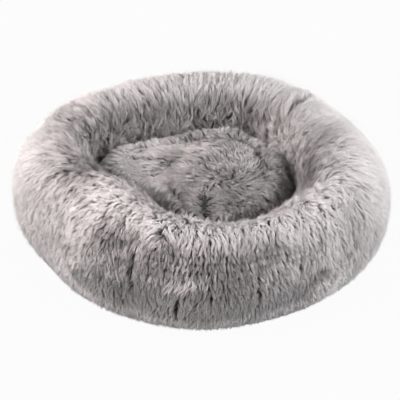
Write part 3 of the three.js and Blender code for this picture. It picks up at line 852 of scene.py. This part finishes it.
def ring_backing(surface, material):
    """The ring's stuffed cover without its pile: a closed tube with an arched underside."""
    around, along, slope = 240, 110, 3
    azimuth = whole_turn(around)[:, None]
    skin = surface(azimuth, np.linspace(0, 1, along)[None])
    foot = np.linalg.norm(skin[:, -1, :2], axis=-1)[:, None] / MM
    under = [
        (foot, FOOT_LEVEL), (foot + FOOT_WIDTH, FOOT_LEVEL), (foot + FOOT_WIDTH + slope, ARCH_LEVEL),
        (BASE_RADIUS - FOOT_WIDTH - slope, ARCH_LEVEL), (BASE_RADIUS - FOOT_WIDTH, FOOT_LEVEL),
        (LIP_RADIUS, FOOT_LEVEL), (LIP_RADIUS, COVER_LIP),
    ]
    loops = [polar_grid(radius, azimuth, level) for radius, level in under]
    corners = np.concatenate([skin, *loops], axis=1)
    faces = grid_faces(around, corners.shape[1])
    piece = mesh_object("ring_backing", corners, [faces], "bed_ring", material)
    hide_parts("bolster_cover")


def cushion_backing(surface, material):
    """The cushion's top without its pile, closed underneath."""
    around, along = 160, 80
    skin = surface(whole_turn(around)[:, None], np.linspace(0.004, 1, along)[None])
    corners = np.concatenate([
        skin.reshape(-1, 3),
        [surface(np.zeros(1), np.zeros(1))[0], [0, 0, CUSHION_SEAM_LEVEL * MM]],
    ])
    top, bottom = around * along, around * along + 1
    first = np.arange(around) * along
    after = np.roll(first, -1)
    faces = grid_faces(around, along, closed=False)[:, ::-1]
    caps = np.concatenate([
        np.stack([np.full(around, top), first, after], -1),
        np.stack([np.full(around, bottom), after + along - 1, first + along - 1], -1),
    ])
    piece = mesh_object("cushion_backing", corners, [faces, caps], "cushion", material)
    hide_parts("cushion_top_cover")


def thin_sheet(name, top, bottom, keep, body, material):
    """A closed sheet between two grids of places, with a cell wherever keep is true.

    Rows run outwards. Columns run round, and close up where keep has as many columns as the grids.
    A first row that is kept all round is closed over its middle.
    """
    rows, columns = top.shape[:2]
    numbers = np.arange(rows * columns).reshape(rows, columns)
    beside = np.roll(numbers, -1, 1)
    cells = keep.shape[1]
    quads = np.stack([numbers[:-1], numbers[1:], beside[1:], beside[:-1]], -1)[:, :cells]
    edged = np.pad(keep, 1)
    if cells == columns:
        edged[:, 0], edged[:, -1] = edged[:, -2], edged[:, 1]
    centred = cells == columns and keep[0].all()
    if centred:
        edged[0, :] = True
    count = rows * columns
    faces = [quads[keep], quads[keep][:, ::-1] + count]
    nearby = (edged[1:-1, :-2], edged[2:, 1:-1], edged[1:-1, 2:], edged[:-2, 1:-1])
    for side, there in enumerate(nearby):
        open_side = keep & ~there
        first, last = quads[open_side][:, side], quads[open_side][:, (side + 1) % 4]
        faces.append(np.stack([last, first, first + count, last + count], -1))
    quads = np.concatenate(faces)
    used, quads = np.unique(quads, return_inverse=True)
    corners = np.concatenate([top.reshape(-1, 3), bottom.reshape(-1, 3)])[used]
    faces = [quads.reshape(-1, 4)]
    if centred:
        around = np.arange(columns)[None]
        faces += [around, around[:, ::-1] + int((used < count).sum())]
    return mesh_object(name, corners, faces, body, material)


def polar_grid(radii, azimuths, level):
    """Places in metres over radii by azimuths, at a level in millimetres for each."""
    radius, azimuth, level = np.broadcast_arrays(radii, azimuths, level)
    return np.stack([radius * np.cos(azimuth), radius * np.sin(azimuth), level], -1) * MM


def slotted_disc(name, bottom, top, pucker, material, node):
    """A round sheet with the zip's slot in it, its faces puckered a little."""
    slot_columns, slot_row = 80, 39
    start, end = TURN / 4 - SLOT_HALF_ANGLE, TURN / 4 + SLOT_HALF_ANGLE
    azimuths = np.concatenate([
        np.linspace(start, end, slot_columns, False),
        np.linspace(end, start + TURN, 200, False),
    ])
    radii = np.concatenate([
        np.linspace(4, ZIP_RADIUS - SLOT_HALF_WIDTH, slot_row + 1),
        np.linspace(ZIP_RADIUS + SLOT_HALF_WIDTH, BASE_RADIUS, 12),
    ])
    flat = polar_grid(radii[:, None], azimuths[None], 0)
    noise = soft_noise(flat, 0.06, 41) + 0.5 * soft_noise(flat, 0.02, 42)
    lift = pucker * (0.5 + 0.25 * np.clip(noise, -2, 2))
    upper = polar_grid(radii[:, None], azimuths[None], top - lift)
    lower = polar_grid(radii[:, None], azimuths[None], bottom + lift)
    keep = np.ones((len(radii) - 1, len(azimuths)), dtype=bool)
    keep[slot_row, :slot_columns] = False
    piece = thin_sheet(name, upper, lower, keep, "bed_ring", material)
    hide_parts(node)
    return piece


def grip_dots(material):
    """Small rubbery domes under the base, which the bed stands on."""
    pitch, wide, sides, edge_margin, zip_margin, zip_side = 12, 1.7, 6, 13, 8, 120
    rows = np.arange(-22, 23)
    places = [(pitch * (i + 0.5 * (j % 2)), pitch * 0.866 * j) for j in rows for i in rows]
    places = np.array(places)
    away = np.hypot(places[:, 0], places[:, 1])
    near_zip = np.abs(away - ZIP_RADIUS) < SLOT_HALF_WIDTH + zip_margin
    near_zip = near_zip & (places[:, 1] > zip_side)
    places = places[(away < BASE_RADIUS - edge_margin) & ~near_zip]
    rings = [(wide, 1.2), (wide, 0.65), (0.72 * wide, 0.2)]
    turns = whole_turn(sides)
    dome = [(r * math.cos(t), r * math.sin(t), z) for r, z in rings for t in turns]
    dome = np.array(dome + [(0, 0, 0)])
    corners = (dome[None] + np.pad(places, ((0, 0), (0, 1)))[:, None]) * MM
    after = [(k, (k + 1) % sides) for k in range(sides)]
    walls = [(low + k, low + n, low + n - sides, low + k - sides)
             for low in (sides, 2 * sides) for k, n in after]
    tips = [(3 * sides, 2 * sides + n, 2 * sides + k) for k, n in after]
    faces = copied_faces(len(places), len(dome), walls, tips, [tuple(range(sides))])
    mesh_object("grip_dots", corners, faces, "bed_ring", material)


def stitches(name, places, ways, level, body, material):
    """Raised stitches, each at a place and pointing a way in the flat, in millimetres and radians."""
    length, width, height = 3.2, 0.8, 0.35
    steps = [(-0.35, 0.8), (0, 1), (0.35, 0.8)]
    ring = np.array([(0, 1), (1, 0), (0, -1), (-1, 0)])
    shape = [(-0.5 * length, 0, 0)]
    for along, full in steps:
        shape += [(along * length, full * width / 2 * a, full * height / 2 * b) for a, b in ring]
    shape = np.array(shape + [(0.5 * length, 0, 0)])
    cos, sin = np.cos(ways)[:, None], np.sin(ways)[:, None]
    x = shape[None, :, 0] * cos - shape[None, :, 1] * sin + places[:, :1]
    y = shape[None, :, 0] * sin + shape[None, :, 1] * cos + places[:, 1:]
    corners = np.stack([x, y, shape[None, :, 2] + level + 0 * x], -1) * MM
    after = [(k, (k + 1) % 4) for k in range(4)]
    quads = [(low + k, low + n, low + n + 4, low + k + 4) for low in (1, 5) for k, n in after]
    tips = [(0, 1 + n, 1 + k) for k, n in after] + [(13, 9 + k, 9 + n) for k, n in after]
    faces = copied_faces(len(places), len(shape), quads, tips)
    mesh_object(name, corners, faces, body, material)


def arc_stitches(radius, start, end, pitch):
    """Places and ways of stitches along an arc."""
    azimuths = np.linspace(start, end, int((end - start) * radius / pitch), False)
    return polar_grid(radius, azimuths, 0)[:, :2] / MM, azimuths + TURN / 4


def piping(name, radius_at, level, thickness, body, material):
    """A corded edge that runs all round."""
    columns, sides, twists = 300, 8, 260
    azimuth = whole_turn(columns)[:, None]
    turn = whole_turn(sides)[None]
    half = thickness / 2 * (1 + 0.08 * np.cos(azimuth * twists + turn))
    radius = radius_at(azimuth) + half * np.cos(turn)
    corners = polar_grid(radius, azimuth, level + half * np.sin(turn))
    faces = grid_faces(columns, sides)
    mesh_object(name, corners, [faces], body, material)


def cushion_underside(surface, material, thread):
    """The cushion's plain underside, puckered towards its seam, with its piping."""
    seam_inset, stitch_inset = 2, 10

    def seam_radius(azimuth):
        return surface.radius_at(azimuth) - CUSHION_TUCK - seam_inset

    azimuths = whole_turn(200)[None]
    shares = np.concatenate([np.linspace(0.03, 0.9, 24), np.linspace(0.92, 1, 6)])[:, None]
    radius = shares * seam_radius(azimuths)
    flat = polar_grid(radius, azimuths, 0)
    puckers = 0.5 + 0.5 * np.sin(azimuths * 64 + soft_noise(flat, 0.05, 43))
    lift = 0.35 * ease(shares, 0.8, 0.98) * puckers
    lift = lift + 0.12 * np.clip(soft_noise(flat, 0.04, 44) + 1.5, 0, 3)
    upper = polar_grid(radius, azimuths, CUSHION_SEAM_LEVEL - SEAT_GAP)
    lower = polar_grid(radius, azimuths, FOOT_LEVEL + lift)
    keep = np.ones((len(shares) - 1, azimuths.size), dtype=bool)
    piece = thin_sheet("cushion_underside_cloth", upper, lower, keep, "cushion", material)
    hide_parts("cushion_underside")
    wide = 2 * float(seam_radius(azimuths).mean()) * MM
    piping("cushion_piping", seam_radius, level=6.9, thickness=2.4, body="cushion", material=material)
    radius = float(surface.radius_at(azimuths).min()) - CUSHION_TUCK - stitch_inset
    places, ways = arc_stitches(radius, 0, TURN, pitch=5)
    stitches("cushion_stitches", places, ways, level=5.72, body="cushion", material=thread)


def zip_tapes(material):
    """The two woven tapes, ribbed in a herringbone, with a corded edge beside the teeth."""
    half = (ZIP_LENGTH / 2 + SLOT_REACH + TAPE_SEAM) / ZIP_RADIUS
    azimuths = np.linspace(TURN / 4 - half, TURN / 4 + half, 324)[None]
    across = np.concatenate([[0, 0.3, 0.8, 1.3], np.linspace(1.6, TAPE_WIDTH, 12)])[:, None]
    middle = FOOT_LEVEL + TAPE_THICKNESS / 2
    for name, side in (("outer", 1), ("inner", -1)):
        radius = ZIP_RADIUS + side * (TAPE_EDGE + across)
        slant = np.abs(across % 5.6 - 2.8)
        ribs = 0.5 + 0.5 * np.cos((azimuths * ZIP_RADIUS / 2.1 + slant * 0.5) * TURN)
        cord = ease(across, 1.2, 1.7)
        thick = TAPE_THICKNESS / 2 * (1 - cord * (0.16 + 0.22 * ribs))
        upper = polar_grid(radius, azimuths, middle + thick)
        lower = polar_grid(radius, azimuths, middle - thick)
        if side < 0:
            upper, lower = upper[::-1], lower[::-1]
        keep = np.ones((len(across) - 1, azimuths.size - 1), dtype=bool)
        piece = thin_sheet(f"zip_tape_{name}_cloth", upper, lower, keep, "bed_ring", material)
        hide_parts(f"zip_tape_{name}")


def base(grip, rubber, felt, thread, lining):
    """The base under the ring: grip cloth with its dots and seams, and the felt above it."""
    binding_inset, edge_inset, zip_offset = 1.3, 6, 3
    cloth = slotted_disc("base_cloth", bottom=0.6, top=BASE_PANEL_TOP, pucker=0.25,
                         material=grip, node="base_panel")
    pad = slotted_disc("base_felt", bottom=BASE_PAD_LEVEL, top=NEST_FLOOR, pucker=0.35,
                       material=felt, node="base_pad")
    grip_dots(rubber)
    piping("base_binding", lambda azimuth: BASE_RADIUS - binding_inset + 0 * azimuth, level=1.2,
           thickness=2.2, body="bed_ring", material=lining)
    runs = [arc_stitches(BASE_RADIUS - edge_inset, 0, TURN, pitch=5)]
    for side in (-1, 1):
        radius = ZIP_RADIUS + side * (SLOT_HALF_WIDTH + zip_offset)
        start, end = TURN / 4 - SLOT_HALF_ANGLE, TURN / 4 + SLOT_HALF_ANGLE
        runs.append(arc_stitches(radius, start, end, pitch=4.6))
    places, ways = (np.concatenate(parts) for parts in zip(*runs))
    stitches("base_stitches", places, ways, level=0.55, body="bed_ring", material=thread)


def floor():
    """A floor that is nearly all white glow to the camera, so that only a faint shadow shows on it."""
    half = FLOOR_SIZE / 2
    mesh = bpy.data.meshes.new("floor")
    corners = [(-half, -half, 0), (half, -half, 0), (half, half, 0), (-half, half, 0)]
    mesh.from_pydata(corners, [], [(0, 1, 2, 3)])
    nodes = Nodes("floor")
    seen = nodes.add("LightPath")
    glow = nodes.add("Emission")
    mixed = nodes.add("MixShader")
    share = nodes.add("Math", operation="MULTIPLY")
    share.inputs[1].default_value = FLOOR_GLOW
    nodes.link(seen.outputs["Is Camera Ray"], share.inputs[0])
    for number, source in enumerate((share, nodes.shader, glow)):
        nodes.link(source.outputs[0], mixed.inputs[number])
    nodes.link(mixed.outputs[0], nodes.tree.nodes["Material Output"].inputs["Surface"])
    mesh.materials.append(nodes.finish(Base_Color=(0.2, 0.2, 0.2, 1), Roughness=0.9))
    new_object("floor", mesh)


def white_world():
    """White to the camera and in reflections, and a plain dim light on everything else."""
    world = bpy.data.worlds.new("studio")
    bpy.context.scene.world = world
    world.use_nodes = True
    tree = world.node_tree
    paths = tree.nodes.new("ShaderNodeLightPath")
    white = paths.outputs["Is Camera Ray"]
    for ray in ("Is Glossy Ray", "Is Transmission Ray"):
        either = tree.nodes.new("ShaderNodeMath")
        either.operation = "MAXIMUM"
        tree.links.new(white, either.inputs[0])
        tree.links.new(paths.outputs[ray], either.inputs[1])
        white = either.outputs[0]
    level = tree.nodes.new("ShaderNodeMapRange")
    tree.links.new(white, level.inputs["Value"])
    level.inputs["To Min"].default_value = WORLD_LIGHT
    level.inputs["To Max"].default_value = 1
    background = tree.nodes["Background"]
    background.inputs["Color"].default_value = (1, 1, 1, 1)
    tree.links.new(level.outputs["Result"], background.inputs["Strength"])


def soft_sun(name, azimuth, elevation, strength, spread, colour=(1, 1, 1)):
    """A wide, soft lamp that shines from one side; azimuth 0 is over the camera."""
    lamp = bpy.data.lights.new(name, "SUN")
    lamp.energy = strength
    lamp.color = colour
    lamp.angle = math.radians(spread)
    turn, lift = math.radians(azimuth), math.radians(elevation)
    flat = math.cos(lift)
    way = Vector((math.sin(turn) * flat, -math.cos(turn) * flat, math.sin(lift)))
    new_object(name, lamp).rotation_euler = way.to_track_quat("Z", "Y").to_euler()


def photo_camera():
    """The photograph's view, with its target a little above the middle of the picture."""
    elevation = math.radians(CAMERA_ELEVATION)
    aim_drop = math.atan(TARGET_PIXELS_UP / FRAME_PIXELS * CAMERA_SENSOR / CAMERA_LENS)
    camera = bpy.data.cameras.new("camera")
    camera.lens, camera.sensor_width = CAMERA_LENS, CAMERA_SENSOR
    holder = new_object("camera", camera)
    back = Vector((0, -math.cos(elevation), math.sin(elevation)))
    holder.location = Vector(CAMERA_TARGET) + back * CAMERA_DISTANCE
    holder.rotation_euler = (math.pi / 2 - elevation - aim_drop, 0, 0)
    bpy.context.scene.camera = holder


def dress_nodes():
    """The cloths and finishes below the fur, and finishes for the CAD nodes that stay."""
    plastic = hard_material("zip_plastic", (0.09, 0.085, 0.088), (0.13, 0.125, 0.128), 900, 0.42, 0)
    enamel = hard_material("zip_enamel", (0.11, 0.105, 0.108), (0.17, 0.165, 0.168), 500, 0.3, 0.7)
    lining = weave_material("lining_cloth", (0.16, 0.155, 0.15), (0.3, 0.29, 0.28), 900)
    fibre = fibre_material("fibre_fill", (0.6, 0.6, 0.58), (0.85, 0.85, 0.83), 300)
    felt = fibre_material("felt", (0.42, 0.41, 0.39), (0.62, 0.6, 0.57), 500)
    grip = weave_material("grip_cloth", (0.02, 0.019, 0.019), (0.05, 0.048, 0.048), 1100, 0.8)
    tape = weave_material("zip_tape", (0.08, 0.077, 0.077), (0.16, 0.155, 0.155), 1400)
    thread = fibre_material("thread", (0.34, 0.33, 0.325), (0.5, 0.485, 0.48), 4000)
    rubber = hard_material("grip_rubber", (0.03, 0.029, 0.029), (0.06, 0.058, 0.058), 700, 0.7, 0)
    base(grip, rubber, felt, thread, lining)
    cushion_underside(cushion_skin, lining, thread)
    zip_tapes(tape)
    finishes = (
        (lining, "bolster_liner"),
        (fibre, "bolster_fill", "cushion_fill"),
        (plastic, "zip_teeth_outer", "zip_teeth_inner", "zip_top_stop_outer", "zip_top_stop_inner"),
        (plastic, "zip_bottom_stop"),
        (enamel, "zip_slider", "zip_pull"),
    )
    for material, *names in finishes:
        for name in names:
            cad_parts[name].material_slots[0].material = material


ring_skin, cushion_skin = Bolster(RING_PILE), Cushion(CUSHION_PILE)
# The backing's near-black is painted shade deep in the pile, between the strands
backing = backing_material("fur_backing", (0.05, 0.047, 0.046), (0.12, 0.112, 0.11), 500)
# The fur's dark root colour is partly its own and partly painted shade deep in the pile
fur = fur_material("ring_fur", (0.18, 0.163, 0.163), (0.86, 0.803, 0.8), (0.98, 0.915, 0.91))
ring_backing(ring_skin, backing)
cushion_backing(cushion_skin, backing)
grow_fur("ring_fur", ring_skin, ring_clumps(ring_skin, seed=1), "bed_ring", fur,
         RING_STRAND_WIDTH, seed=100)
grow_fur("cushion_fur", cushion_skin, cushion_clumps(cushion_skin, seed=2), "cushion", fur,
         CUSHION_STRAND_WIDTH, seed=200)
dress_nodes()
floor()
white_world()
soft_sun("top_lamp", azimuth=180, elevation=62, strength=0.6, spread=60)
soft_sun("left_lamp", azimuth=-80, elevation=17, strength=5.7, spread=50, colour=(1, 0.985, 0.97))
soft_sun("right_lamp", azimuth=70, elevation=18, strength=4.7, spread=50, colour=(0.965, 0.99, 1))
photo_camera()

bpy.context.scene.view_settings.view_transform = "Standard"
